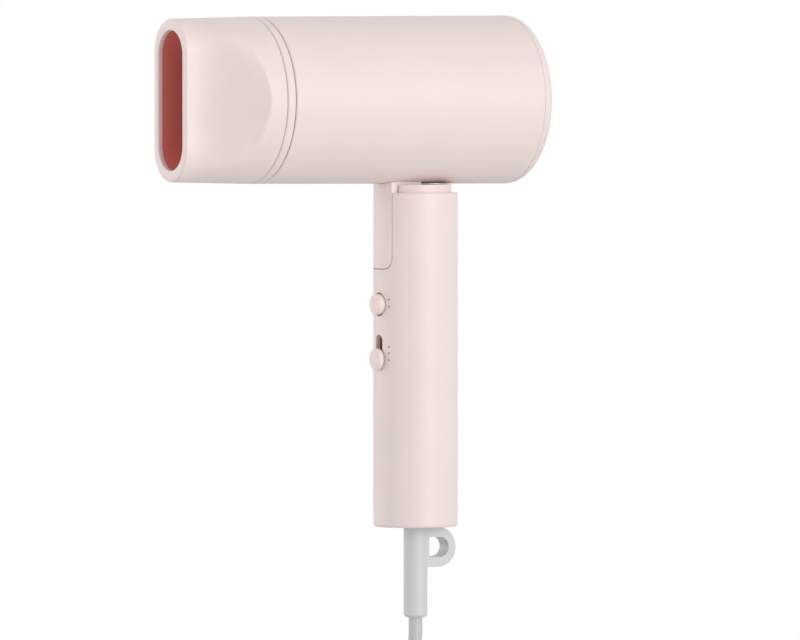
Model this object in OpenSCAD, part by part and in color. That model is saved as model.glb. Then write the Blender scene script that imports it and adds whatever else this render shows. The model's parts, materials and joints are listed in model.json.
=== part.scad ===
// Folding travel hair dryer with a flat concentrator nozzle, held upright by its grip.
// Frame: millimetres, +Z up the handle, the barrel along X with its nozzle towards -X,
// origin on the handle's axis at the middle of the clear stretch of the grip.

/* [Handle] */
// Outer diameter of the handle
handle_d = 36.5; // [35:0.1:38]
// Wall of the handle tube
handle_wall = 2.2; // [1.8:0.1:2.6]
// From the grip's middle up to the handle's top edge
handle_above = 110; // [108:1:118]
// From the grip's middle down to the handle's bottom edge
handle_below = 34; // [33:1:50]
// Diameter of the neck that the barrel rests over
neck_d = 31; // [30:0.1:31.6]
// Height of the neck above the handle's top edge
neck_h = 3.5; // [3:0.1:4]

/* [Barrel] */
// Outer diameter at the rear
barrel_d = 72.8; // [71.6:0.1:76]
// Outer diameter at the nozzle seam
barrel_front_d = 71.4; // [70.4:0.1:71.6]
// Wall at the nozzle seam
barrel_wall = 2.3; // [2:0.1:2.6]
// From the handle's axis forward to the seam
barrel_ahead = 78; // [76:1:90]
// From the handle's axis back to the rear face
barrel_behind = 49; // [47:1:60]
// Radius of the rear edge
rear_round = 5; // [3:0.5:6]
// Outer radius of the inner duct
duct_r = 30; // [29.6:0.1:30.2]

/* [Nozzle] */
// Length from the seam to the mouth
nozzle_len = 42; // [38:1:50]
// Width of the mouth's face
mouth_w = 29; // [26:0.5:34]
// Height of the mouth's face
mouth_h = 69.5; // [66:0.5:70]
// Width of the slot that the air leaves by
slot_w = 21.5; // [18:0.5:22]
// Height of the slot that the air leaves by
slot_h = 59.7; // [56:0.5:60]
// Width of the swivel ring
swivel_w = 3.9; // [3:0.1:5]
// How far the nozzle pulls forward off its ring
nozzle_pull = 30; // [20:1:40]

/* [Fold] */
// Pivot's distance ahead of the handle's axis
pivot_ahead = 8; // [7.5:0.1:8.5]
// Pivot's distance below the handle's top edge
pivot_down = 13; // [12.6:0.1:13.6]
// Radius of the hinge pin
pin_r = 2; // [1.6:0.1:2.4]
// Half width of the tongue that fills the handle's slot
tongue_half = 8; // [7.6:0.1:8.2]
// Distance of the tongue's tip below the pivot
tongue_drop = 22; // [20:0.5:22.5]
// Corner radius of the tongue's tip
tongue_corner = 5; // [4:0.5:5.5]

/* [Controls] */
// Height of the cool button's centre above the grip's middle
button_z = 62; // [61.6:0.1:63]
// Diameter of the cool button
button_d = 9; // [8:0.1:9.4]
// Height of the slide knob's centre when off
knob_z = 38.4; // [37.8:0.1:38.6]
// Diameter of the slide knob
knob_d = 9.5; // [8.6:0.1:10]
// Travel of the slide knob
knob_travel = 7; // [6:0.5:7]
// Half width of the knob's slot
knob_slot_half = 2.85; // [2.6:0.05:3]
// Distance of both faces from the handle's axis
control_face = 20.4; // [20:0.1:20.8]

/* [Cord] */
// Diameter of the cord
cord_d = 6; // [5.6:0.1:6.2]
// Diameter of the strain relief's shaft
relief_d = 10.3; // [9.6:0.1:10.8]
// Length of the strain relief's shaft
relief_len = 39; // [36:1:39]
// Thickness of the hanging loop
loop_t = 8; // [7:0.5:9]

/* [Fits] */
// Radial clearance of a running fit
run_gap = 0.05; // [0.03:0.01:0.08]
// Gap between moulded parts that move past each other
move_gap = 0.3; // [0.25:0.05:0.35]
// Gap between fixed parts that nest
nest_gap = 0.1; // [0.05:0.05:0.15]

/* [Hidden] */

$fn = 96;
eps = 0.02;

// Colours
shell_pink = [0.93, 0.87, 0.86];
deep_red = [0.55, 0.27, 0.25];
relief_grey = [0.86, 0.86, 0.87];
steel = [0.75, 0.76, 0.78];
mica_tan = [0.80, 0.74, 0.62];
board_green = [0.16, 0.36, 0.22];
black_plastic = [0.12, 0.12, 0.13];

// Handle and neck, from the driving sizes
handle_r = handle_d / 2;
handle_in_r = handle_r - handle_wall;
handle_lip_h = 2.5;
neck_r = neck_d / 2;
neck_top = handle_above + neck_h;
handle_edge = 1.4;
// The straight stretch of the grip; above it the wall has a little moulding draft
grip_half = handle_below - handle_edge;
handle_draft = 0.05;
function drafted_r(z) = handle_r - handle_draft * (z - grip_half) / (handle_above - grip_half);

// Barrel, from the driving sizes
barrel_r = barrel_d / 2;
barrel_front_r = barrel_front_d / 2;
bore_r = barrel_front_r - barrel_wall;
taper = (barrel_r - barrel_front_r) / (barrel_ahead + barrel_behind);
belly_r = barrel_front_r + taper * barrel_ahead;
barrel_z = neck_top + move_gap + belly_r;
seam_x = -barrel_ahead;
rear_x = barrel_behind;
cap_w = rear_round + 0.5;
cap_x = rear_x - cap_w;

// Parts inside the barrel
insert_r = bore_r - nest_gap;
grille_r = 29.3;
grille_t = 2;
grille_x = rear_x - 3.5;
filter_x = cap_x - 1.6;
stator_x = 3;
stator_end = cap_x - 6.5;
stator_r = insert_r;
stator_in_r = stator_r - 1.5;
motor_r = 12;
motor_back = 24;
motor_front = -4;
shaft_r = 1;
fan_x = 27;
fan_len = 8;
fan_hub_r = 12.6;
fan_r = stator_in_r - 0.8;
duct_t = 1.5;
duct_in_r = duct_r - duct_t;
duct_front = seam_x + 6;
sleeve_r = duct_in_r - nest_gap;
sleeve_t = 0.5;
sleeve_front = seam_x + 14;
sleeve_end = -11;
frame_half = sleeve_r - sleeve_t - nest_gap;
mica_t = 0.8;
coil_count = 6;
coil_pitch = 7.5;
coil_r = 21;
coil_wire_r = 1;
coil_x = sleeve_front + 7;

// Spigot, ring and nozzle
spigot_r = 32.9;
spigot_in_r = 30.6;
spigot_front = seam_x - 11;
ring_back = seam_x - move_gap;
ring_front = ring_back - swivel_w;
ring_in_r = spigot_r + run_gap;
ring_sleeve_r = ring_in_r + 0.7;
ring_sleeve_front = spigot_front + 0.5;
nozzle_back = ring_front - move_gap;
nozzle_band_front = ring_sleeve_front - 0.5;
nozzle_in_r = ring_sleeve_r + run_gap;
nozzle_r = barrel_front_r - 0.1;
mouth_x = seam_x - nozzle_len;
lip_t = 2;
liner_t = 1.1;
liner_back = nozzle_band_front - 0.6;
loft_back = nozzle_band_front + 0.5;
passage_r = nozzle_in_r + 0.3 - liner_t - nest_gap;

// Fold hinge
pivot_x = -pivot_ahead;
pivot_z = handle_above - pivot_down;
knuckle_r = 6.5;
arm_half = tongue_half - 0.5;
slot_half = tongue_half + move_gap + 0.05;
bracket_r = handle_in_r - nest_gap;
bracket_bottom = handle_above - 24;
pin_half = 12.3;

// Controls
button_hole_r = button_d / 2 + 0.6;
knob_stem_r = knob_slot_half - 0.65;
knob_slot_top = knob_z + knob_travel + knob_slot_half + 0.75;
shutter_r = handle_in_r - move_gap;
shutter_t = 1.1;
shutter_low = knob_z - knob_slot_half - 7.2;
shutter_high = knob_slot_top + 0.3;

// Board
board_x = 2;
board_t = 1.6;
board_half = 13;
board_low = -8;
board_high = 70;

// Strain relief and cord
cord_r = cord_d / 2;
relief_r = relief_d / 2;
relief_end = -handle_below - 0.2 - relief_len;
cap_t = 6.5;
cap_low = -handle_below + 0.4;
cap_high = cap_low + cap_t;
loop_out = 17.7;
loop_hole_out = 14.3;
loop_r = 8.6;
loop_hole_r = 4.3;
loop_z = -handle_below - 9;

// Hank: a tied oval winding that hangs below the strain relief
hank_w = 55;
hank_h = 124;
hank_t = 25.4;
hank_x = 0;
hank_top = -115;
hank_mid = hank_top - hank_h / 2;
hank_low = hank_top - hank_h;
tie_h = 12;
tie_t = 1.2;

// The cord's route from the relief down behind the hank, then from the hank to the plug
route_down = [
  [0, 0, relief_end], [0, 0, -77], [0, 0, -81], [-0.5, 0.5, -86], [-2, 1.5, -92],
  [-4, 3.5, -98], [-7, 5.5, -104], [-9.5, 7.5, -110], [-11.5, 9, -116], [-12, 9.5, -120],
];
plug_x = -18.5;
plug_y = 9.5;
plug_top = hank_low - 31;
route_plug = [
  [plug_x, plug_y, hank_low + 8], [plug_x, plug_y, -240], [plug_x, plug_y, -248],
  [plug_x, plug_y, -256], [plug_x, plug_y, -263], [plug_x, plug_y, plug_top],
];
plug_len = 36;
plug_low = plug_top - plug_len;
plug_pin_len = 19;

// ---- shared shapes ----

// A body of revolution about the barrel's axis, from [radius, x] points
module turn_x(points) {
  translate([0, 0, barrel_z])
    rotate([0, 90, 0])
      rotate_extrude()
        polygon(points);
}

// A straight ring about the barrel's axis
module ring_x(outer, inner, x0, x1) {
  turn_x([[inner, x0], [outer, x0], [outer, x1], [inner, x1]]);
}

module rod_x(radius, x0, x1) {
  translate([x0, 0, barrel_z])
    rotate([0, 90, 0])
      cylinder(r = radius, h = x1 - x0);
}

// A cylinder along X at a height in the handle
module peg_x(radius, x0, x1, z) {
  translate([x0, 0, z])
    rotate([0, 90, 0])
      cylinder(r = radius, h = x1 - x0, $fn = 48);
}

// A cylinder along Y through the fold pivot
module pivot_rod(radius, y0, y1) {
  translate([pivot_x, y0, pivot_z])
    rotate([-90, 0, 0])
      cylinder(r = radius, h = y1 - y0, $fn = 64);
}

module block(low, high) {
  translate(low)
    cube(high - low);
}

module ring_z(outer, inner, z0, z1) {
  translate([0, 0, z0])
    difference() {
      cylinder(r = outer, h = z1 - z0);
      translate([0, 0, -1])
        cylinder(r = inner, h = z1 - z0 + 2);
    }
}

// Arc of points from angle a0 to a1 about [cx, cy]
function arc(cx, cy, r, a0, a1, n = 6) =
  [for (i = [0:n]) let (a = a0 + (a1 - a0) * i / n) [cx + r * cos(a), cy + r * sin(a)]];

// The solid that the tongue's edge sweeps about the pivot: a disc with rounded rims
module tongue_sweep(half, drop, corner) {
  translate([pivot_x, 0, pivot_z])
    rotate([90, 0, 0])
      rotate_extrude()
        polygon(concat(
          [[0, -half]],
          arc(drop - corner, -half + corner, corner, -90, 0),
          arc(drop - corner, half - corner, corner, 0, 90),
          [[0, half]]
        ));
}

// Outline of the nozzle at one station: a stadium that is a circle where width = height
loft_sides = 40;
function stadium_point(half_w, half_h, i) =
  let (a = 360 * (i + 0.5) / loft_sides, up = cos(a) >= 0 ? 1 : -1)
  [half_w * sin(a), up * max(half_h - half_w, 0) + half_w * cos(a)];

// How far the sides have drawn in, from 0 at the round base to 1 at the mouth
function draw_in(t) = pow(sin(90 * t), 2) * 0.35 + (1 - pow(1 - t, 2.2)) * 0.65;

// A solid lofted along X from a circle at loft_back to a stadium at mouth_x, kept between
// two stations and grown sideways
module nozzle_loft(base_r, half_w, half_h, grow = 0, from_x = loft_back, to_x = mouth_x) {
  steps = 8;
  n = loft_sides;
  points = [
    for (k = [0:steps], i = [0:n - 1])
      let (x = from_x + (to_x - from_x) * k / steps,
        t = min(max((x - loft_back) / (mouth_x - loft_back), 0), 1),
        w = base_r + (half_w - base_r) * draw_in(t) + grow,
        h = base_r + (half_h - base_r) * t + grow,
        p = stadium_point(w, h, i))
      [x, p[0], barrel_z + p[1]]
  ];
  sides = [
    for (k = [0:steps - 1], i = [0:n - 1])
      let (j = (i + 1) % n) [k * n + i, (k + 1) * n + i, (k + 1) * n + j, k * n + j]
  ];
  ends = [[for (i = [0:n - 1]) i], [for (i = [n - 1:-1:0]) steps * n + i]];
  polyhedron(points = points, faces = concat(sides, ends));
}

// A prism along X with the stadium outline
module mouth_prism(half_w, half_h, x0, x1) {
  translate([x0, 0, barrel_z])
    rotate([90, 0, 90])
      linear_extrude(x1 - x0) {
        square([2 * half_w, 2 * (half_h - half_w)], center = true);
        for (s = [-1, 1])
          translate([0, s * (half_h - half_w)])
            circle(r = half_w, $fn = 64);
      }
}

function unit(v) = v / norm(v);

// Direction of a route at one of its points
function heading(route, k) =
  k == 0 || k == len(route) - 1 ? [0, 0, -1] : unit(route[k + 1] - route[k - 1]);

// A tube of eight sides swept down a route
module swept_tube(route, radius, sides = 8) {
  n = len(route);
  points = [
    for (k = [0:n - 1], i = [0:sides - 1])
      let (a = 360 * i / sides, d = heading(route, k),
        u = unit(cross([0, 1, 0], d)), v = cross(d, u))
      route[k] + radius * (cos(a) * u + sin(a) * v)
  ];
  walls = [
    for (k = [0:n - 2], i = [0:sides - 1])
      let (j = (i + 1) % sides)
      [k * sides + i, (k + 1) * sides + i, (k + 1) * sides + j, k * sides + j]
  ];
  caps = [[for (i = [0:sides - 1]) i], [for (i = [sides - 1:-1:0]) (n - 1) * sides + i]];
  polyhedron(points = points, faces = concat(walls, caps));
}

// ---- barrel ----

module barrel_housing() {
  color(shell_pink)
    difference() {
      turn_x([
        [bore_r, seam_x], [barrel_front_r - 0.4, seam_x], [barrel_front_r, seam_x + 0.4],
        [barrel_front_r + taper * (cap_x - seam_x), cap_x], [bore_r, cap_x],
      ]);
      block([pivot_x - knuckle_r - nest_gap, -arm_half - nest_gap, neck_top - 5],
        [pivot_x + knuckle_r + nest_gap, arm_half + nest_gap, barrel_z - bore_r + 8]);
      translate([9, 0, neck_top - 5])
        cylinder(r = 4, h = 12, $fn = 48);
      for (s = [-1, 1])
        translate([pivot_x - 9.5, s * 5, barrel_z - bore_r - 1.2])
          cylinder(r = 0.95, h = 4, $fn = 24);
    }
}

module rear_cap() {
  cap_r = barrel_front_r + taper * (rear_x - seam_x);
  color(shell_pink)
    turn_x(concat(
      [[grille_r + nest_gap, grille_x], [27.6, grille_x], [27.6, cap_x - 0.3], [31, cap_x - 0.3],
       [31, cap_x - 5], [insert_r, cap_x - 5], [insert_r, cap_x + eps],
       [cap_r - 0.35, cap_x + eps], [cap_r, cap_x + 0.4]],
      arc(cap_r - rear_round, rear_x - rear_round, rear_round, 0, 90),
      [[grille_r + nest_gap, rear_x]]
    ));
}

module inlet_grille() {
  rings = 6;
  ring_step = 4.45;
  color(shell_pink)
    difference() {
      rod_x(grille_r, grille_x, grille_x + grille_t);
      rod_x(1.3, grille_x - 1, grille_x + grille_t + 1);
      for (k = [1:rings], i = [0:6 * k - 1])
        translate([0, 0, barrel_z])
          rotate([60 * i / k, 0, 0])
            translate([grille_x - 1, 0, ring_step * k])
              rotate([0, 90, 0])
                cylinder(r = 1.3, h = grille_t + 2, $fn = 16);
    }
}

module inlet_filter() {
  color("dimgray") {
    ring_x(30.8, 28, filter_x - 1.2, cap_x - 0.4);
    rod_x(28.2, filter_x - 0.8, filter_x - 0.4);
  }
}

module front_spigot() {
  color(shell_pink)
    turn_x([
      [spigot_in_r, spigot_front], [spigot_r, spigot_front], [spigot_r, seam_x],
      [insert_r, seam_x], [insert_r, seam_x + 10], [duct_r + run_gap, seam_x + 10],
      [duct_r + run_gap, seam_x + 7], [spigot_in_r, seam_x + 7],
    ]);
}

module outlet_grille() {
  x0 = seam_x + 1;
  x1 = x0 + 3;
  grille_out = spigot_in_r - run_gap;
  color(deep_red) {
    for (r = [grille_out, 22, 14, 6])
      ring_x(r, r - 1.6, x0, x1);
    for (i = [0:5])
      translate([0, 0, barrel_z])
        rotate([60 * i, 0, 0])
          block([x0 + 0.5, -0.7, 4.9], [x1 - 0.5, 0.7, grille_out - 0.8]);
  }
}

module inner_duct() {
  color(deep_red)
    ring_x(duct_r, duct_in_r, duct_front, stator_x);
}

module mica_sleeve() {
  color(mica_tan)
    ring_x(sleeve_r, sleeve_r - sleeve_t, sleeve_front, sleeve_end);
}

module heater_frame() {
  color(mica_tan)
    difference() {
      translate([0, 0, barrel_z]) {
        block([sleeve_front + 1, -mica_t / 2, -frame_half], [sleeve_end - 1, mica_t / 2, frame_half]);
        block([sleeve_front + 1, -frame_half, -mica_t / 2], [sleeve_end - 1, frame_half, mica_t / 2]);
      }
      for (i = [0:coil_count - 1])
        turn_coil(i, coil_wire_r + 0.1);
    }
}

// One turn of the heating element
module turn_coil(i, wire_r) {
  translate([coil_x + i * coil_pitch, 0, barrel_z])
    rotate([0, 90, 0])
      rotate_extrude()
        translate([coil_r, 0])
          circle(r = wire_r, $fn = 24);
}

module heater_coils() {
  color(steel)
    for (i = [0:coil_count - 1])
      turn_coil(i, coil_wire_r);
}

module thermostat() {
  color(black_plastic)
    translate([0, 0, barrel_z])
      block([sleeve_end - 9, mica_t / 2 + eps, 4], [sleeve_end - 2, mica_t / 2 + 4, 15]);
}

module thermal_fuse() {
  color(steel)
    translate([sleeve_end - 15, -mica_t / 2 - 1.6, barrel_z - 12])
      rotate([0, 90, 0])
        cylinder(r = 1.55, h = 12, $fn = 32);
}

module motor_mount() {
  vanes = 7;
  vane_x0 = stator_x + 3;
  vane_x1 = motor_back - 2;
  sleeve_out = motor_r + nest_gap + 1.4;
  color([0.85, 0.84, 0.82])
    difference() {
      union() {
        ring_x(stator_r, stator_in_r, stator_x, stator_end);
        ring_x(stator_r, duct_in_r, stator_x, stator_x + 2);
        ring_x(sleeve_out, motor_r + nest_gap, vane_x0 - 2, vane_x1 + 1);
        for (i = [0:vanes - 1])
          translate([0, 0, barrel_z])
            rotate([360 * i / vanes, 0, 0])
              block([vane_x0, -0.7, sleeve_out - 0.8], [vane_x1, 0.7, stator_in_r + 0.6]);
      }
      translate([9, 0, barrel_z - stator_r - 1])
        cylinder(r = 3, h = 3.5, $fn = 32);
    }
}

module motor_can() {
  color(steel)
    difference() {
      union() {
        rod_x(motor_r, motor_front, motor_back - 0.5);
        rod_x(3, motor_back - 0.6, motor_back + 1.2);
      }
      rod_x(shaft_r + run_gap, 14, motor_back + 3);
    }
}

module motor_end_cap() {
  color(black_plastic) {
    rod_x(motor_r - 1, motor_front - 3, motor_front);
    for (s = [-1, 1])
      translate([0, 0, barrel_z])
        block([motor_front - 6.5, s * 7 - 1.5, -0.4], [motor_front - 3 + eps, s * 7 + 1.5, 0.4]);
  }
}

module motor_shaft() {
  color(steel)
    rod_x(shaft_r, 14.5, fan_x + fan_len);
}

module impeller() {
  blades = 9;
  blade_mid = fan_x + fan_len / 2;
  color([0.92, 0.92, 0.90])
    difference() {
      union() {
        rod_x(fan_hub_r, fan_x, fan_x + fan_len);
        for (i = [0:blades - 1])
          translate([blade_mid, 0, barrel_z])
            rotate([360 * i / blades, 0, 0])
              rotate([0, 0, 42])
                block([-fan_len / 2 + 0.4, -0.6, fan_hub_r - 1.5], [fan_len / 2 - 0.4, 0.6, fan_r - 1]);
      }
      rod_x(shaft_r, fan_x - 1, fan_x + fan_len + 1);
      rod_x(fan_hub_r - 1.8, fan_x - 1, fan_x + fan_len - 4);
    }
}

module hinge_arm() {
  flange_top = barrel_z - duct_r - 0.4;
  color(shell_pink)
    difference() {
      union() {
        pivot_rod(knuckle_r, -arm_half, arm_half);
        block([pivot_x - knuckle_r, -arm_half, pivot_z],
          [pivot_x + knuckle_r, arm_half, flange_top - 0.6]);
        intersection() {
          rod_x(insert_r, pivot_x - 14, pivot_x + 10);
          block([pivot_x - 14, -10, neck_top], [pivot_x + 10, 10, flange_top]);
        }
      }
      pivot_rod(pin_r + run_gap, -arm_half - 1, arm_half + 1);
      for (s = [-1, 1])
        translate([pivot_x - 9.5, s * 5, neck_top])
          cylinder(r = 1.25, h = 10, $fn = 32);
    }
}

module hinge_screws() {
  flange_top = barrel_z - duct_r - 0.4;
  color(steel)
    for (s = [-1, 1])
      translate([pivot_x - 9.5, s * 5, 0]) {
        translate([0, 0, barrel_z - bore_r - 1])
          cylinder(r = 0.9, h = flange_top - (barrel_z - bore_r) - 0.2, $fn = 24);
        translate([0, 0, flange_top - 1.25])
          cylinder(r = 1.2, h = 1.2, $fn = 32);
      }
}

// The drafted wall of the handle between two heights
module drafted_ring(z0, z1) {
  rotate_extrude()
    polygon([[handle_in_r, z0], [drafted_r(z0), z0], [drafted_r(z1), z1], [handle_in_r, z1]]);
}

module hinge_tongue() {
  color(shell_pink)
    difference() {
      union() {
        intersection() {
          drafted_ring(pivot_z - tongue_drop - 2, barrel_z - 20);
          union() {
            tongue_sweep(tongue_half, tongue_drop, tongue_corner);
            block([-handle_r - 1, -tongue_half, pivot_z], [0, tongue_half, barrel_z - 20]);
          }
          block([-handle_r - 1, -tongue_half, 0], [pivot_x - knuckle_r - 0.3, tongue_half, barrel_z]);
        }
        block([-handle_in_r - 0.4, -4, pivot_z + 1], [pivot_x - knuckle_r, 4, neck_top]);
      }
      translate([0, 0, barrel_z])
        rotate([0, 90, 0])
          cylinder(r = belly_r + 0.05, h = 60, center = true);
    }
}

module hinge_washers() {
  color(steel)
    for (s = [-1, 1])
      translate([pivot_x, s * (arm_half + 0.42), pivot_z])
        rotate([90, 0, 0])
          difference() {
            cylinder(r = 5, h = 0.7, center = true, $fn = 64);
            cylinder(r = pin_r + run_gap, h = 2, center = true, $fn = 64);
          }
}

module barrel_leads() {
  for (s = [-1, 1])
    color(s < 0 ? "white" : "firebrick")
      translate([9 + s * 1.4, 0, barrel_z - bore_r - 1.5])
        cylinder(r = 1.1, h = 20, $fn = 24);
}

// ---- nozzle ----

module swivel_ring() {
  edge = 0.9;
  color(shell_pink)
    turn_x(concat(
      [[ring_in_r, ring_sleeve_front], [ring_sleeve_r, ring_sleeve_front],
       [ring_sleeve_r, ring_front]],
      arc(barrel_front_r - edge, ring_front + edge, edge, -90, 0, 4),
      arc(barrel_front_r - edge, ring_back - edge, edge, 0, 90, 4),
      [[ring_in_r, ring_back]]
    ));
}

module nozzle_shell() {
  color(shell_pink)
    union() {
      ring_x(nozzle_r, nozzle_in_r, nozzle_band_front, nozzle_back);
      difference() {
        nozzle_loft(nozzle_r - 0.1, mouth_w / 2, mouth_h / 2);
        nozzle_loft(passage_r, slot_w / 2, slot_h / 2, liner_t + nest_gap,
          loft_back + 0.1, mouth_x + lip_t);
        mouth_prism(slot_w / 2, slot_h / 2, mouth_x - 1, mouth_x + lip_t + 1);
      }
    }
}

module nozzle_liner() {
  color(deep_red)
    difference() {
      nozzle_loft(passage_r, slot_w / 2, slot_h / 2, liner_t,
        liner_back, mouth_x + lip_t + nest_gap / 2);
      nozzle_loft(passage_r, slot_w / 2, slot_h / 2, 0, liner_back + 0.1, mouth_x + lip_t);
    }
}

// ---- handle ----

module handle_tube() {
  edge = handle_edge;
  color(shell_pink)
    difference() {
      rotate_extrude()
        polygon(concat(
          [[handle_in_r, -handle_below]],
          arc(handle_r - edge, -handle_below + edge, edge, -90, 0),
          [[handle_r, grip_half], [drafted_r(handle_above - 0.4), handle_above - 0.4],
           [handle_r - 0.45, handle_above],
           [neck_r + nest_gap, handle_above], [neck_r + nest_gap, handle_above - handle_lip_h],
           [handle_in_r, handle_above - handle_lip_h]]
        ));
      intersection() {
        tongue_sweep(slot_half, tongue_drop + move_gap + 0.05, tongue_corner);
        block([-30, -20, 0], [pivot_x, 20, handle_above + 5]);
      }
      block([-30, -slot_half, pivot_z], [pivot_x, slot_half, handle_above + 5]);
      peg_x(button_hole_r, -handle_r - 2, -handle_in_r + 4, button_z);
      hull_slot(knob_slot_half, knob_z, knob_slot_top - knob_slot_half);
    }
}

// A slot through the front wall with round ends
module hull_slot(half, z0, z1) {
  peg_x(half, -handle_r - 2, -handle_in_r + 4, z0);
  peg_x(half, -handle_r - 2, -handle_in_r + 4, z1);
  block([-handle_r - 2, -half, z0], [-handle_in_r + 4, half, z1]);
}

module handle_end_cap() {
  color(shell_pink)
    difference() {
      translate([0, 0, cap_low])
        cylinder(r = handle_in_r - eps, h = cap_t);
      translate([0, 0, cap_low - 1])
        cylinder(r = relief_r - 0.6 + nest_gap, h = cap_t + 2);
      translate([0, 0, cap_low + 2.5])
        cylinder(r = 13.5, h = cap_t);
    }
}

module hinge_bracket() {
  color(shell_pink)
    difference() {
      union() {
        translate([0, 0, bracket_bottom])
          cylinder(r = bracket_r, h = handle_above - handle_lip_h - nest_gap - bracket_bottom);
        translate([0, 0, bracket_bottom])
          cylinder(r = neck_r, h = neck_top - bracket_bottom);
      }
      block([-30, -slot_half, bracket_bottom - 1], [11, slot_half, neck_top + 1]);
      block([-30, -slot_half, bracket_bottom - 1], [30, slot_half, pivot_z - 5]);
      pivot_rod(pin_r + eps, -30, 30);
      for (s = [-1, 1])
        translate([6, s * 10.5, bracket_bottom - 1])
          cylinder(r = 1.6, h = 60, $fn = 32);
    }
}

module hinge_pin() {
  color(steel)
    pivot_rod(pin_r, -pin_half, pin_half);
}

module board_carrier() {
  rail_r = handle_in_r - nest_gap;
  color([0.80, 0.80, 0.80])
    difference() {
      union() {
        intersection() {
          translate([0, 0, -20])
            cylinder(r = rail_r, h = bracket_bottom + 20);
          for (s = [-1, 1])
            translate([0, s * 14, 0])
              block([-1, -2.6, -20], [4.6, 2.6, bracket_bottom]);
        }
        ring_z(rail_r, 13, cap_high, -19);
      }
      block([board_x - run_gap, -board_half - run_gap, board_low - run_gap],
        [board_x + board_t + run_gap, board_half + run_gap, board_high + run_gap]);
    }
}

module circuit_board() {
  color(board_green)
    block([board_x, -board_half, board_low], [board_x + board_t, board_half, board_high]);
}

module filter_capacitor() {
  color("goldenrod")
    block([board_x - 9 - eps, -7, 4], [board_x - eps, 7, 18]);
}

module board_diodes() {
  color(black_plastic)
    for (i = [-1:1])
      translate([board_x - 1.9, 5 * i, -5])
        cylinder(r = 1.85, h = 6, $fn = 32);
}

module cool_switch() {
  color(black_plastic) {
    block([-6, -5, button_z - 5.5], [board_x - eps, 5, button_z + 5.5]);
  }
}

module slide_switch() {
  color(black_plastic)
    difference() {
      block([-7.5, -6, knob_z - 7], [board_x - eps, 6, knob_z + knob_travel + 7]);
      block([-9, -1.5, knob_z - 1.5], [-4, 1.5, knob_z + knob_travel + 1.5]);
    }
}

module cool_button() {
  flange_x = -14.5;
  color(shell_pink) {
    edge = 0.5;
    translate([0, 0, button_z])
      rotate([0, 90, 0])
        rotate_extrude($fn = 64)
          polygon([
            [0, -control_face], [button_d / 2 - edge, -control_face],
            [button_d / 2 - 0.15, -control_face + 0.15], [button_d / 2, -control_face + edge],
            [button_d / 2, flange_x], [button_hole_r + 0.3, flange_x],
            [button_hole_r + 0.3, flange_x + 1.2], [2, flange_x + 1.2], [2, -7.7], [0, -7.7],
          ]);
  }
}

module slide_knob() {
  edge = 0.5;
  under = -handle_r - 0.25;
  color(shell_pink)
    translate([0, 0, knob_z])
      rotate([0, 90, 0])
        rotate_extrude($fn = 64)
          polygon([
            [0, -control_face], [knob_d / 2 - edge, -control_face],
            [knob_d / 2 - 0.15, -control_face + 0.15], [knob_d / 2, -control_face + edge],
            [knob_d / 2, under], [knob_stem_r, under], [knob_stem_r, -14], [1, -14], [1, -5],
            [0, -5],
          ]);
}

module slide_shutter() {
  color(deep_red)
    difference() {
      intersection() {
        ring_z(shutter_r, shutter_r - shutter_t, shutter_low, shutter_high);
        block([-20, -5, shutter_low - 1], [0, 5, shutter_high + 1]);
      }
      peg_x(knob_stem_r + eps, -20, -10, knob_z);
    }
}

module handle_leads() {
  for (s = [-1, 1])
    color(s < 0 ? "white" : "firebrick")
      translate([6, s * 10.5, board_low + 4])
        cylinder(r = 1.2, h = handle_above - board_low - 8, $fn = 24);
}

// ---- cord ----

module strain_relief() {
  color(relief_grey)
    union() {
      rotate_extrude()
        polygon([
          [0, relief_end], [relief_r - 1, relief_end], [relief_r, relief_end + 1],
          [relief_r, -handle_below - 0.2], [relief_r, cap_low], [relief_r - 0.6, cap_low],
          [relief_r - 0.6, cap_low + 2.5 + eps], [relief_r + 2, cap_low + 2.5 + eps],
          [relief_r + 2, cap_low + 4.5], [0, cap_low + 4.5],
        ]);
      translate([0, loop_t / 2, 0])
        rotate([90, 0, 0])
          linear_extrude(loop_t)
            difference() {
              union() {
                translate([0, loop_z - loop_r])
                  square([loop_out - loop_r, 2 * loop_r]);
                translate([loop_out - loop_r, loop_z])
                  circle(r = loop_r);
              }
              translate([relief_r - 0.5, loop_z - loop_hole_r])
                square([loop_hole_out - loop_hole_r - relief_r + 0.5, 2 * loop_hole_r]);
              translate([loop_hole_out - loop_hole_r, loop_z])
                circle(r = loop_hole_r);
            }
    }
}

module cord_tail() {
  color(relief_grey)
    translate([0, 0, cap_low + 4.5 + eps])
      cylinder(r = cord_r, h = 14);
}

module cord_clamp() {
  z0 = cap_high + 1;
  color([0.80, 0.80, 0.80])
    difference() {
      block([-12.1, -4, z0], [12.1, 4, z0 + 5]);
      translate([0, 0, z0 - 1])
        cylinder(r = cord_r + eps, h = 7);
      for (s = [-1, 1])
        translate([s * 7, -10, z0 + 2.5])
          rotate([-90, 0, 0])
            cylinder(r = 1.3, h = 20, $fn = 32);
    }
}

module clamp_screws() {
  color(steel)
    for (s = [-1, 1])
      translate([s * 7, 0, cap_high + 3.5])
        rotate([90, 0, 0]) {
          translate([0, 0, -4])
            cylinder(r = 1.25, h = 8, $fn = 32);
          translate([0, 0, 4])
            cylinder(r = 2.3, h = 1.4, $fn = 32);
        }
}

// Outline of the folded cord, drawn out to a thickness
module hank_form() {
  r = hank_w / 2;
  translate([hank_x, hank_t / 2, 0])
    rotate([90, 0, 0])
      linear_extrude(hank_t) {
        translate([-r, hank_low + r])
          square([hank_w, hank_h - hank_w]);
        for (z = [hank_low + r, hank_top - r])
          translate([0, z])
            circle(r = r);
      }
}

module power_cord() {
  color(relief_grey)
    difference() {
      swept_tube(route_down, cord_r);
      hank_form();
    }
}

// Outer shape of the folded cord
module cord_hank() {
  color(relief_grey)
    hank_form();
}

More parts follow.
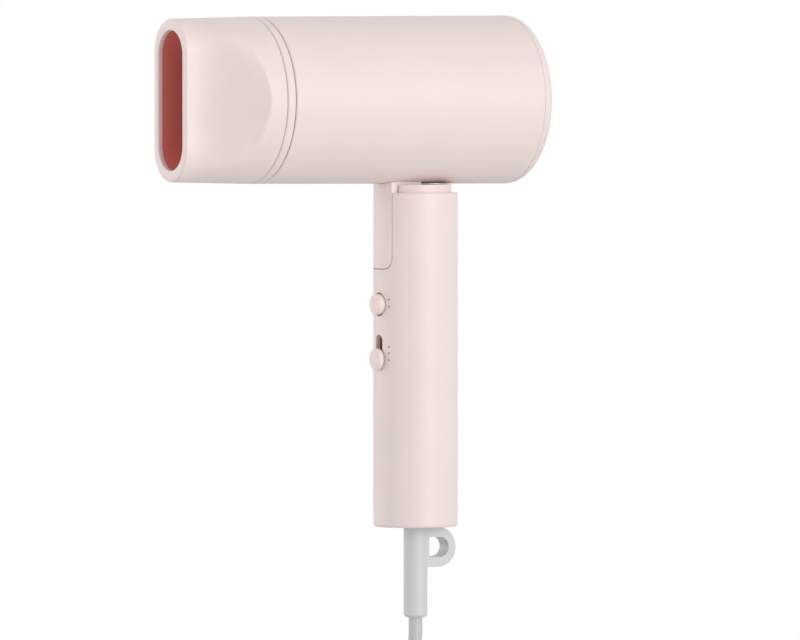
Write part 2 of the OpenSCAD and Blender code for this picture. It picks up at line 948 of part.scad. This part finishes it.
module cord_tie() {
  color(black_plastic)
    translate([hank_x, 0, hank_mid])
      difference() {
        cube([hank_w + 2 * tie_t, hank_t + 2 * tie_t, tie_h], center = true);
        cube([hank_w + eps, hank_t + eps, tie_h + 2], center = true);
      }
}

module cord_end() {
  color(relief_grey)
    difference() {
      swept_tube(route_plug, cord_r);
      hank_form();
    }
}

module plug_body() {
  color(relief_grey)
    translate([plug_x, plug_y, plug_top]) {
      mirror([0, 0, 1])
        cylinder(r1 = 4, r2 = 6, h = 12, $fn = 48);
      hull()
        for (s = [-1, 1])
          translate([s * 9, 0, -plug_len])
            cylinder(r = 6.8, h = 18, $fn = 32);
      hull() {
        for (s = [-1, 1])
          translate([s * 9, 0, -18.2])
            cylinder(r = 6.8, h = 0.2, $fn = 32);
        translate([0, 0, -11])
          cylinder(r = 5.8, h = 0.2, $fn = 32);
      }
    }
}

module plug_pins() {
  color(steel)
    for (s = [-1, 1])
      translate([plug_x + s * 9.3, plug_y, plug_low - plug_pin_len])
        cylinder(r = 2, h = plug_pin_len - eps, $fn = 32);
}

barrel_housing();
rear_cap();
inlet_grille();
inlet_filter();
front_spigot();
outlet_grille();
inner_duct();
mica_sleeve();
heater_frame();
heater_coils();
thermostat();
thermal_fuse();
motor_mount();
motor_can();
motor_end_cap();
motor_shaft();
impeller();
hinge_arm();
hinge_tongue();
hinge_screws();
hinge_washers();
barrel_leads();
swivel_ring();
nozzle_shell();
nozzle_liner();
handle_tube();
handle_end_cap();
hinge_bracket();
hinge_pin();
board_carrier();
circuit_board();
filter_capacitor();
board_diodes();
cool_switch();
slide_switch();
cool_button();
slide_knob();
slide_shutter();
handle_leads();
strain_relief();
cord_tail();
cord_clamp();
clamp_screws();
power_cord();
cord_hank();
cord_tie();
cord_end();
plug_body();
plug_pins();
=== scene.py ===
"""Folding travel hair dryer with a flat nozzle and a tied cord: its looks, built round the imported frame."""
import json
import math

import bpy
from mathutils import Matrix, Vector


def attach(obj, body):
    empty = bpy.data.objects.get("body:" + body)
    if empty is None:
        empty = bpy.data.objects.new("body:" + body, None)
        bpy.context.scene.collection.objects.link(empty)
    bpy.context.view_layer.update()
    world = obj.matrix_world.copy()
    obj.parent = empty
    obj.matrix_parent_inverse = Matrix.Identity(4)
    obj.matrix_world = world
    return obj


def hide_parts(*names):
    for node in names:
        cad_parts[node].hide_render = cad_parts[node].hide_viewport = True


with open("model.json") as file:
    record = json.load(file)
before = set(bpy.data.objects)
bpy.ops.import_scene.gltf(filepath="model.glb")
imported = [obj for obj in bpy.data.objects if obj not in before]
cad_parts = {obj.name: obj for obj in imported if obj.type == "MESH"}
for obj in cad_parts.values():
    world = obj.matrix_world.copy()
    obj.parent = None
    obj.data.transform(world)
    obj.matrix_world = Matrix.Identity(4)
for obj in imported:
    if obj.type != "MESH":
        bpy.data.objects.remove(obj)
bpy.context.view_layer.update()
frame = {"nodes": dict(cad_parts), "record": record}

MM = 0.001
scene = bpy.context.scene

# ---- sizes in millimetres, repeated from part.scad ----
BARREL_Z = 149.93
HANDLE_R = 18.25
BUTTON_Z = 62.0
KNOB_Z = 38.4
NOZZLE_BACK = -82.5
LOFT_BACK = -88.5
MOUTH_X = -120.0
NOZZLE_R = 35.6
NOZZLE_IN_R = 33.7
LOFT_R = 35.5
MOUTH_HALF = (14.5, 34.75)
SLOT_HALF = (10.75, 29.85)
PASSAGE_R = 32.8
LINER_T = 1.1
LIP_T = 2.0
RELIEF_END = -73.2
CORD_R = 3.0
HANK_HALF_W = 27.5
HANK_HALF_T = 12.7
HANK_TOP = -115.0
HANK_LOW = -239.0
HANK_MID = (HANK_TOP + HANK_LOW) / 2
TIE_H = 12.0
TIE_T = 1.2
PLUG_X, PLUG_Y, PLUG_TOP = -18.5, 9.5, -270.0
PLUG_LEN = 36.0
PIN_HALF_PITCH = 9.3
PIN_R = 2.0
PIN_LEN = 19.0


# ---- camera ----
CAM_DISTANCE = 4.0
CAM_AZIMUTH = math.radians(-29.67)
CAM_ELEVATION = math.radians(1.68)
CAM_TARGET = Vector((-0.0058, 0.0033, 0.0550))
CAM_LENS = 417.5


def camera_axes(azimuth, elevation):
    """The direction a camera looks in, with azimuth 0 along +Y."""
    return Vector((-math.sin(azimuth) * math.cos(elevation),
                   math.cos(azimuth) * math.cos(elevation), -math.sin(elevation)))


view_dir = camera_axes(CAM_AZIMUTH, CAM_ELEVATION)
cam = bpy.data.objects.new("camera", bpy.data.cameras.new("camera"))
scene.collection.objects.link(cam)
cam.data.lens = CAM_LENS
cam.data.sensor_width = 36.0
cam.data.clip_end = 50.0
cam.location = CAM_TARGET - view_dir * CAM_DISTANCE
cam.rotation_mode = "QUATERNION"
cam.rotation_quaternion = view_dir.to_track_quat("-Z", "Y")
scene.camera = cam


# ---- materials ----
def srgb(r, g, b):
    """Linear colour from the 0-255 values that it shows."""
    def lin(c):
        c /= 255
        return c / 12.92 if c <= 0.04045 else ((c + 0.055) / 1.055) ** 2.4
    return (lin(r), lin(g), lin(b), 1.0)


def scaled(colour, k):
    return tuple(min(c * k, 1.0) for c in colour[:3]) + (1.0,)


def noise(nodes, links, coords, scale, detail=3.0, rough=0.55):
    n = nodes.new("ShaderNodeTexNoise")
    n.inputs["Scale"].default_value = scale
    n.inputs["Detail"].default_value = detail
    n.inputs["Roughness"].default_value = rough
    links.new(coords, n.inputs["Vector"])
    return n.outputs["Fac"]


def ramp(nodes, links, fac, low, high, start=0.35, end=0.65):
    """Maps a noise value to a number between low and high."""
    m = nodes.new("ShaderNodeMapRange")
    m.inputs["From Min"].default_value = start
    m.inputs["From Max"].default_value = end
    m.inputs["To Min"].default_value = low
    m.inputs["To Max"].default_value = high
    links.new(fac, m.inputs["Value"])
    return m.outputs["Result"]


BUMP_STRENGTH = 0.6
SLOW_SCALE = 38.0      # drift of the colour, per metre
PATCH_SCALE = 160.0    # patches of the gloss, per metre
RED_SCATTER = (0.004, 0.0022, 0.0018)


def material(name, colour, rough=0.4, metallic=0.0, grain=2200.0, depth=0.00002, mottle=0.02,
             spread=0.06, specular=0.5, stretch=None, subsurface=0.0):
    """A moulded or drawn surface: fine grain in its bump, slow drift in its gloss and colour."""
    m = bpy.data.materials.new(name)
    m.use_nodes = True
    nodes, links = m.node_tree.nodes, m.node_tree.links
    shader = nodes["Principled BSDF"]
    coords = nodes.new("ShaderNodeTexCoord").outputs["Object"]
    fine_coords = coords
    if stretch:
        mapping = nodes.new("ShaderNodeMapping")
        mapping.inputs["Scale"].default_value = stretch
        links.new(coords, mapping.inputs["Vector"])
        fine_coords = mapping.outputs["Vector"]
    fine = noise(nodes, links, fine_coords, grain, 4.0, 0.6)
    slow = noise(nodes, links, coords, SLOW_SCALE, 2.0)
    patch = noise(nodes, links, coords, PATCH_SCALE, 3.0)
    mix = nodes.new("ShaderNodeMix")
    mix.data_type = "RGBA"
    mix.inputs["A"].default_value = scaled(colour, 1 - mottle)
    mix.inputs["B"].default_value = scaled(colour, 1 + mottle)
    links.new(ramp(nodes, links, slow, 0.0, 1.0), mix.inputs["Factor"])
    links.new(mix.outputs["Result"], shader.inputs["Base Color"])
    links.new(ramp(nodes, links, patch, rough - spread, rough + spread), shader.inputs["Roughness"])
    bump = nodes.new("ShaderNodeBump")
    bump.inputs["Strength"].default_value = BUMP_STRENGTH
    bump.inputs["Distance"].default_value = depth
    links.new(fine, bump.inputs["Height"])
    links.new(bump.outputs["Normal"], shader.inputs["Normal"])
    shader.inputs["Metallic"].default_value = metallic
    shader.inputs["Specular IOR Level"].default_value = specular
    if subsurface:
        shader.inputs["Subsurface Weight"].default_value = subsurface
        shader.inputs["Subsurface Radius"].default_value = RED_SCATTER
        shader.inputs["Subsurface Scale"].default_value = 1.0
    return m


SLOT_LOOKS = {
    "shell_pink": dict(colour=srgb(240, 223, 219), rough=0.42, grain=2600.0, depth=0.000012,
                       mottle=0.008, spread=0.04, specular=0.4, subsurface=0.15),
    "deep_red": dict(colour=srgb(158, 84, 78), rough=0.5, mottle=0.04),
    "mica": dict(colour=srgb(198, 182, 150), rough=0.55, grain=900.0, mottle=0.08),
    "steel": dict(colour=srgb(198, 199, 203), rough=0.3, metallic=1.0, grain=700.0,
                  stretch=(1.0, 1.0, 12.0), depth=0.000008),
    "black_plastic": dict(colour=srgb(44, 43, 45), rough=0.48),
    "inner_plastic": dict(colour=srgb(214, 211, 207), rough=0.5),
    "circuit_board": dict(colour=srgb(52, 98, 66), rough=0.4, grain=1200.0),
    "capacitor": dict(colour=srgb(206, 160, 60), rough=0.35),
    "wire": dict(colour=srgb(176, 52, 46), rough=0.45),
    "relief_grey": dict(colour=srgb(212, 210, 211), rough=0.46, grain=1800.0, depth=0.00002,
                        mottle=0.012, specular=0.45),
}
materials = {slot: material(slot, **look) for slot, look in SLOT_LOOKS.items()}
# not a real light: a little glow brings the lining up to the brightness the photograph shows
LINING_GLOW = 0.5
lining_red = material("lining_red", srgb(186, 100, 92), rough=0.55, mottle=0.03)
lining_shader = lining_red.node_tree.nodes["Principled BSDF"]
lining_shader.inputs["Emission Color"].default_value = srgb(150, 80, 73)
lining_shader.inputs["Emission Strength"].default_value = LINING_GLOW
cord_grey = material("cord_grey", srgb(200, 197, 197), rough=0.5, grain=1500.0, mottle=0.015)
print_grey = material("print_grey", srgb(150, 118, 116), rough=0.6, mottle=0.03)


def paint(obj, mat):
    obj.data.materials.clear()
    obj.data.materials.append(mat)


for sub in frame["record"]["subparts"]:
    paint(frame["nodes"][sub["node"]], materials[sub["material_slot"]])


# ---- mesh helpers ----
def mesh_piece(name, verts, faces, slot, body, sharp=None):
    """A piece from points in millimetres, smooth except where edges turn by more than sharp degrees."""
    mesh = bpy.data.meshes.new(name)
    mesh.from_pydata([Vector(v) * MM for v in verts], [], faces)
    mesh.update()
    obj = bpy.data.objects.new(name, mesh)
    scene.collection.objects.link(obj)
    for poly in mesh.polygons:
        poly.use_smooth = True
    if sharp:
        mesh.set_sharp_from_angle(angle=math.radians(sharp))
    paint(obj, materials[slot])
    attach(obj, body)
    return obj


def skin(rings, closed=False, caps=True):
    """Vertices and faces of a skin over rings that have the same number of points."""
    n = len(rings[0])
    verts = [p for ring in rings for p in ring]
    faces = []
    last = len(rings) if closed else len(rings) - 1
    for k in range(last):
        a, b = k * n, (k + 1) % len(rings) * n
        for i in range(n):
            j = (i + 1) % n
            faces.append((a + i, a + j, b + j, b + i))
    if caps and not closed:
        faces.append(tuple(range(n - 1, -1, -1)))
        faces.append(tuple(range((len(rings) - 1) * n, len(rings) * n)))
    return verts, faces


def lerp(a, b, t):
    return a + (b - a) * t


def smooth(t):
    t = min(max(t, 0.0), 1.0)
    return t * t * (3 - 2 * t)


# ---- nozzle: from a round band to an upright slot, with scooped sides ----
SECTORS = 288


def stadium_reach(angle, half_w, half_h):
    """Distance from the middle to a stadium's edge, at an angle from upright."""
    s, c = abs(math.sin(angle)), abs(math.cos(angle))
    k = half_h - half_w
    if s > 1e-9 and half_w / s * c <= k:
        return half_w / s
    return k * c + math.sqrt(max(half_w ** 2 - (k * s) ** 2, 0.0))


def draw_in(t):
    return math.sin(math.pi / 2 * t) ** 2 * 0.35 + (1 - (1 - t) ** 2.2) * 0.65


def soft_min(a, b, k):
    if k <= 1e-6:
        return min(a, b)
    h = max(k - abs(a - b), 0.0) / k
    return min(a, b) - h * h * k / 4


SCOOP_START = 0.05
SCOOP_EDGE = 5.0
STADIUM_FROM = 0.3


def outer_reach(angle, t):
    """Outer surface of the nozzle: the round, cut by two scooped sides that close in on the mouth."""
    u = max(t - SCOOP_START, 0.0) / (1 - SCOOP_START)
    side = lerp(LOFT_R, MOUTH_HALF[0], draw_in(u))
    round_r = lerp(LOFT_R, MOUTH_HALF[1], t)
    s = max(abs(math.sin(angle)), 1e-6)
    cut = soft_min(round_r, side / s, SCOOP_EDGE * min(u / 0.22, 1.0))
    blend = smooth((t - STADIUM_FROM) / (1 - STADIUM_FROM))
    return lerp(cut, stadium_reach(angle, min(side, round_r), round_r), blend)


def passage_reach(angle, t, grow):
    w = lerp(PASSAGE_R, SLOT_HALF[0], draw_in(t)) + grow
    h = lerp(PASSAGE_R, SLOT_HALF[1], t) + grow
    return stadium_reach(angle, w, h)


def nozzle_ring(x, reach):
    """One ring about the barrel's axis; reach is a radius or a function of the angle."""
    ring = []
    for i in range(SECTORS):
        a = 2 * math.pi * (i + 0.5) / SECTORS
        r = reach(a) if callable(reach) else reach
        ring.append((x, r * math.sin(a), BARREL_Z + r * math.cos(a)))
    return ring


def loft_x(t):
    return lerp(LOFT_BACK, MOUTH_X, t)


def quarter(n):
    return [math.pi / 2 * k / n for k in range(n + 1)]


LOFT_STEPS = 64
MOUTH_EDGE = 0.7
SLOT_EDGE = 0.45
BAND_EDGE = 0.45
MOUTH_BACK = 1 - MOUTH_EDGE / (LOFT_BACK - MOUTH_X)

rings = [nozzle_ring(NOZZLE_BACK, NOZZLE_IN_R)]
for a in quarter(4):
    rings.append(nozzle_ring(NOZZLE_BACK - BAND_EDGE * (1 - math.cos(a)),
                             NOZZLE_R - BAND_EDGE * (1 - math.sin(a))))
rings.append(nozzle_ring(LOFT_BACK + 0.6, NOZZLE_R))
for k in range(LOFT_STEPS + 1):
    t = MOUTH_BACK * k / LOFT_STEPS
    rings.append(nozzle_ring(loft_x(t), lambda a, t=t: outer_reach(a, t)))
for a in quarter(5)[1:]:
    inset = MOUTH_EDGE * (1 - math.cos(a))
    rings.append(nozzle_ring(
        MOUTH_X + MOUTH_EDGE * (1 - math.sin(a)),
        lambda q, d=inset: stadium_reach(q, MOUTH_HALF[0] - d, MOUTH_HALF[1] - d)))
for a in quarter(4):
    out = SLOT_EDGE * (1 - math.sin(a))
    rings.append(nozzle_ring(
        MOUTH_X + SLOT_EDGE * (1 - math.cos(a)),
        lambda q, d=out: stadium_reach(q, SLOT_HALF[0] + d, SLOT_HALF[1] + d)))
rings.append(nozzle_ring(MOUTH_X + LIP_T, lambda q: stadium_reach(q, *SLOT_HALF)))
LIP_FRONT = (MOUTH_X + LIP_T - LOFT_BACK) / (MOUTH_X - LOFT_BACK)
for k in range(13):
    t = LIP_FRONT * (1 - k / 12)
    rings.append(nozzle_ring(loft_x(t), lambda a, t=t: passage_reach(a, t, LINER_T + 0.1)))
rings.append(nozzle_ring(LOFT_BACK, NOZZLE_IN_R))
verts, faces = skin(rings, closed=True)
nozzle = mesh_piece("nozzle_cone", verts, faces, "shell_pink", "nozzle", sharp=50)
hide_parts("nozzle_shell")

rings = []
LINER_STEPS = 28
for grow, order in ((LINER_T, range(LINER_STEPS + 1)), (0.0, range(LINER_STEPS, -1, -1))):
    for k in order:
        t = LIP_FRONT * k / LINER_STEPS
        x = min(loft_x(t), LOFT_BACK - 0.6) if k else LOFT_BACK - 0.6
        rings.append(nozzle_ring(x, lambda a, t=t, g=grow: passage_reach(a, t, g)))
verts, faces = skin(rings, closed=True)
liner = mesh_piece("nozzle_lining", verts, faces, "deep_red", "nozzle", sharp=50)
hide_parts("nozzle_liner")
paint(liner, lining_red)


# ---- position dots beside the controls ----
DOT_R, DOT_RISE, DOT_SUNK = 0.42, 0.12, 0.2
DOT_TURN = math.radians(21.5)
DOT_HEIGHTS = (BUTTON_Z + 2.2, BUTTON_Z - 0.8, KNOB_Z + 5.4, KNOB_Z + 2.7, KNOB_Z - 0.2)


def dome(centre, normal, radius, height, rings_n=5, sectors=20):
    """A low dome on a surface, closed underneath."""
    u = normal.cross(Vector((0, 0, 1))).normalized()
    v = normal.cross(u)
    spokes = [u * math.cos(a) + v * math.sin(a)
              for a in [2 * math.pi * i / sectors for i in range(sectors)]]
    out = [[centre - normal * DOT_SUNK + spoke * radius for spoke in spokes]]
    for k in range(rings_n):
        b = math.pi / 2 * k / rings_n
        out.append([centre + normal * height * math.sin(b) + spoke * radius * math.cos(b)
                    for spoke in spokes])
    return skin(out)


verts, faces = [], []
for z in DOT_HEIGHTS:
    normal = Vector((-math.cos(DOT_TURN), -math.sin(DOT_TURN), 0))
    v, f = dome(normal * HANDLE_R + Vector((0, 0, z)), normal, DOT_R, DOT_RISE)
    faces += [tuple(i + len(verts) for i in face) for face in f]
    verts += v
dots = mesh_piece("position_dots", verts, faces, "shell_pink", "handle")
paint(dots, print_grey)


# ---- cord: out of the relief, wound in a tied hank, and on to the plug ----
ROUTE_DOWN = [
    (0, 0, RELIEF_END), (0, 0, -77), (0, 0, -81), (-0.5, 0.5, -86), (-2, 1.5, -92),
    (-4, 3.5, -98), (-7, 5.5, -104), (-9.5, 7.5, -110), (-11.5, 9, -116), (-12.4, 9.5, -121),
    (-13.4, 9.5, -127), (-15, 9.5, -133), (-16.8, 9.5, -139), (-18, 9.5, -145), (-18.2, 9.5, -151),
]
ROUTE_PLUG = [
    (-24.4, 9.5, -205), (-24.2, 9.5, -213), (-23, 9.5, -221), (-21, 9.5, -229),
    (-19.2, 9.5, -237), (-18.5, 9.5, -245), (-18.5, 9.5, -253), (-18.5, 9.5, -261),
    (PLUG_X, PLUG_Y, PLUG_TOP),
]
LAYERS = (9.5, 3.2, -3.2, -9.5)
INNER_R, OUTER_R = 18.2, 24.4
TURN_LOW = HANK_LOW + HANK_HALF_W
TURN_HIGH = HANK_TOP - HANK_HALF_W
ARC_STEPS = 26


def spline_through(points, steps=4):
    """Points on a smooth curve through the given ones."""
    p = [Vector(q) for q in points]
    p = [p[0] * 2 - p[1]] + p + [p[-1] * 2 - p[-2]]
    out = []
    for k in range(1, len(p) - 2):
        for s in range(steps):
            t = s / steps
            out.append(0.5 * (2 * p[k] + (p[k + 1] - p[k - 1]) * t
                              + (2 * p[k - 1] - 5 * p[k] + 4 * p[k + 1] - p[k + 2]) * t ** 2
                              + (3 * p[k] - p[k - 1] - 3 * p[k + 1] + p[k + 2]) * t ** 3))
    return out + [p[-2]]


def half_turn(top, r0, r1, y0, y1, start=0.0, end=1.0):
    """Half a turn of the hank: over the top to the left, or under the bottom to the right."""
    out = []
    for k in range(1, ARC_STEPS + 1):
        f = k / ARC_STEPS
        r = lerp(r0, r1, smooth(f))
        y = lerp(y0, y1, smooth((f - start) / (end - start)))
        side = r * math.cos(math.pi * f) * (1 if top else -1)
        rise = r * math.sin(math.pi * f) * (1 if top else -1)
        out.append(Vector((side, y, (TURN_HIGH if top else TURN_LOW) + rise)))
    return out


def straight(x, y, z0, z1, steps=12):
    return [Vector((x, y, lerp(z0, z1, k / steps))) for k in range(1, steps + 1)]


path = spline_through(ROUTE_DOWN)
path += straight(-INNER_R, LAYERS[0], path[-1].z, TURN_LOW)
for k in (1, 2, 3):
    path += half_turn(False, INNER_R, INNER_R, LAYERS[k - 1], LAYERS[k])
    path += straight(INNER_R, LAYERS[k], TURN_LOW, TURN_HIGH)
    path += half_turn(True, INNER_R, INNER_R, LAYERS[k], LAYERS[k])
    path += straight(-INNER_R, LAYERS[k], TURN_HIGH, TURN_LOW)
radius, layer = INNER_R, LAYERS[3]
for k in (3, 2, 1):
    path += half_turn(False, radius, OUTER_R, layer, LAYERS[k])
    radius, layer = OUTER_R, LAYERS[k]
    path += straight(OUTER_R, layer, TURN_LOW, TURN_HIGH)
    after = LAYERS[0] if k == 1 else layer
    path += half_turn(True, OUTER_R, OUTER_R, layer, after, 0.66, 1.0)
    if k > 1:
        path += straight(-OUTER_R, layer, TURN_HIGH, TURN_LOW)
path += straight(-OUTER_R, LAYERS[0], TURN_HIGH, ROUTE_PLUG[0][2])[:-1]
path += spline_through(ROUTE_PLUG)

curve = bpy.data.curves.new("mains_cord", "CURVE")
curve.dimensions = "3D"
curve.bevel_depth = CORD_R * MM
curve.bevel_resolution = 6
curve.use_fill_caps = True
spline = curve.splines.new("POLY")
spline.points.add(len(path) - 1)
for point, p in zip(spline.points, path):
    point.co = (p.x * MM, p.y * MM, p.z * MM, 1.0)
spline.use_smooth = True
cord = bpy.data.objects.new("mains_cord", curve)
scene.collection.objects.link(cord)
paint(cord, cord_grey)
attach(cord, "handle")
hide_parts("power_cord", "cord_hank", "cord_end")


# ---- strap round the hank ----
def rounded_rect(half_x, half_y, radius, z, steps=8):
    ring = []
    for sx, sy, a0 in ((1, 1, 0), (-1, 1, 90), (-1, -1, 180), (1, -1, 270)):
        for k in range(steps + 1):
            a = math.radians(a0 + 90 * k / steps)
            ring.append((sx * (half_x - radius) + radius * math.cos(a),
                         sy * (half_y - radius) + radius * math.sin(a), z))
    return ring


STRAP_ROUND = 5.5
strap_x, strap_y = HANK_HALF_W + TIE_T - 0.15, HANK_HALF_T + TIE_T - 0.25
SOFT_EDGE = 0.35
half_h = TIE_H / 2
strap_section = [
    (half_h - SOFT_EDGE, 0.0), (half_h - SOFT_EDGE * 0.3, SOFT_EDGE * 0.3), (half_h, SOFT_EDGE),
    (half_h, TIE_T - SOFT_EDGE), (half_h - SOFT_EDGE * 0.3, TIE_T - SOFT_EDGE * 0.3),
    (half_h - SOFT_EDGE, TIE_T),
]
strap_section += [(-z, d) for z, d in reversed(strap_section)]
rings = [rounded_rect(strap_x - d, strap_y - d, STRAP_ROUND - d, HANK_MID + z)
         for z, d in strap_section]
verts, faces = skin(rings, closed=True)
strap = mesh_piece("cord_strap", verts, faces, "black_plastic", "handle", sharp=60)
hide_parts("cord_tie")

# the strap's loose end lies flat over its front
END_X, END_LEN, END_T = 9.0, 17.0, 0.24
END_MARGIN, END_NARROWING = 0.7, 1.6
rings = []
for k in range(11):
    f = k / 10
    x = END_X - END_LEN * f
    narrow = half_h - END_MARGIN - END_NARROWING * smooth((f - 0.8) / 0.2)
    y = -strap_y + 0.02
    ring = []
    for i in range(24):
        a = 2 * math.pi * i / 24
        z = narrow * max(-1.0, min(1.0, 1.25 * math.sin(a)))
        ring.append((x, y - END_T / 2 + END_T / 2 * math.cos(a), HANK_MID + z))
    rings.append(ring)
verts, faces = skin(rings)
strap_end = mesh_piece("cord_strap_end", verts, faces, "black_plastic", "handle", sharp=60)


# ---- plug ----
def superellipse(z, half_x, half_y, power, x0, y0, n=72):
    ring = []
    for i in range(n):
        a = 2 * math.pi * i / n
        c, s = math.cos(a), math.sin(a)
        ring.append((x0 + half_x * math.copysign(abs(c) ** (2 / power), c),
                     y0 + half_y * math.copysign(abs(s) ** (2 / power), s), z))
    return ring


plug_low = PLUG_TOP - PLUG_LEN
# depth below the plug's top, half width, half thickness and squareness
PLUG_SECTIONS = [
    (0.0, 3.3, 3.3, 2.0), (0.25, 3.9, 3.9, 2.0), (2.6, 4.2, 4.2, 2.0), (2.9, 3.7, 3.7, 2.0),
    (4.1, 3.7, 3.7, 2.0), (4.4, 4.7, 4.7, 2.0), (6.4, 4.9, 4.9, 2.0), (6.7, 4.4, 4.4, 2.0),
    (7.9, 4.4, 4.4, 2.0), (8.2, 5.3, 5.3, 2.0), (11.0, 6.4, 5.7, 2.1), (14.0, 9.0, 6.0, 2.3),
    (16.5, 12.2, 6.3, 2.5), (18.5, 14.2, 6.6, 2.7), (20.5, 15.0, 6.7, 2.8), (24.0, 15.0, 6.6, 2.8),
    (28.0, 14.9, 6.5, 2.8), (32.0, 15.1, 6.6, 2.8), (34.6, 15.4, 6.7, 2.8), (35.5, 15.1, 6.4, 2.8),
    (35.9, 14.6, 5.9, 2.8), (36.0, 14.0, 5.4, 2.8),
]
rings = [superellipse(PLUG_TOP - d, hx, hy, p, PLUG_X, PLUG_Y) for d, hx, hy, p in PLUG_SECTIONS]
verts, faces = skin(rings)
plug = mesh_piece("mains_plug", verts, faces, "relief_grey", "handle", sharp=50)
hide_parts("plug_body")


def turned(profile, x0, y0, n=40):
    """A skin turned about an upright axis, from (radius, z) points."""
    return skin([[(x0 + r * math.cos(2 * math.pi * i / n), y0 + r * math.sin(2 * math.pi * i / n), z)
                  for i in range(n)] for r, z in profile])


PIN_END = plug_low - PIN_LEN
verts, faces = [], []
sleeve_verts, sleeve_faces = [], []
for side in (-1, 1):
    x0 = PLUG_X + side * PIN_HALF_PITCH
    tip = [(PIN_R * math.cos(a), PIN_END + PIN_R * 0.8 * (1 - math.sin(a))) for a in quarter(6)]
    v, f = turned([(PIN_R, plug_low + 0.5), *tip[:-1], (0.12, PIN_END)], x0, PLUG_Y)
    faces += [tuple(i + len(verts) for i in face) for face in f]
    verts += v
    v, f = turned([(PIN_R + 0.05, plug_low + 0.4), (PIN_R + 0.05, plug_low - 9.7),
                   (PIN_R - 0.05, plug_low - 10)], x0, PLUG_Y)
    sleeve_faces += [tuple(i + len(sleeve_verts) for i in face) for face in f]
    sleeve_verts += v
pins = mesh_piece("plug_pins_round", verts, faces, "steel", "handle", sharp=60)
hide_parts("plug_pins")
sleeves = mesh_piece("plug_pin_sleeves", sleeve_verts, sleeve_faces, "black_plastic", "handle", sharp=60)


# ---- floor and light ----
FLOOR_Z = -0.3262
FLOOR_HALF = 3
AMBIENT = 0.49
mesh = bpy.data.meshes.new("floor")
mesh.from_pydata([(x * FLOOR_HALF, y * FLOOR_HALF, FLOOR_Z)
                  for x, y in ((-1, -1), (1, -1), (1, 1), (-1, 1))], [], [(0, 1, 2, 3)])
floor = bpy.data.objects.new("floor", mesh)
scene.collection.objects.link(floor)
paint(floor, material("floor_white", srgb(244, 244, 244), rough=0.8, mottle=0.004, grain=300.0))


def sun(name, azimuth, elevation, strength, angle):
    """A soft far lamp; its azimuth is counted from the camera's own, to its right."""
    data = bpy.data.lights.new(name, "SUN")
    data.energy = strength
    data.angle = math.radians(angle)
    lamp = bpy.data.objects.new(name, data)
    scene.collection.objects.link(lamp)
    towards = -camera_axes(CAM_AZIMUTH + math.radians(azimuth), math.radians(elevation))
    lamp.rotation_mode = "QUATERNION"
    lamp.rotation_quaternion = (-towards).to_track_quat("-Z", "Y")


# name, azimuth, elevation, strength, angular size
for lamp in (("key", 38, 8, 1.5, 40), ("fill", -105, 8, 1.05, 50), ("top", 10, 70, 0.22, 80)):
    sun(*lamp)

world = bpy.data.worlds.new("studio")
scene.world = world
world.use_nodes = True
nodes, links = world.node_tree.nodes, world.node_tree.links
background = nodes["Background"]
light_path = nodes.new("ShaderNodeLightPath")
seen = light_path.outputs["Is Camera Ray"]
for other in ("Is Glossy Ray", "Is Transmission Ray"):
    add = nodes.new("ShaderNodeMath")
    add.operation = "MAXIMUM"
    links.new(seen, add.inputs[0])
    links.new(light_path.outputs[other], add.inputs[1])
    seen = add.outputs["Value"]
strength = nodes.new("ShaderNodeMapRange")
strength.inputs["To Min"].default_value = AMBIENT
strength.inputs["To Max"].default_value = 1.0
links.new(seen, strength.inputs["Value"])
background.inputs["Color"].default_value = (1.0, 1.0, 1.0, 1.0)
links.new(strength.outputs["Result"], background.inputs["Strength"])

scene.view_settings.view_transform = "Standard"
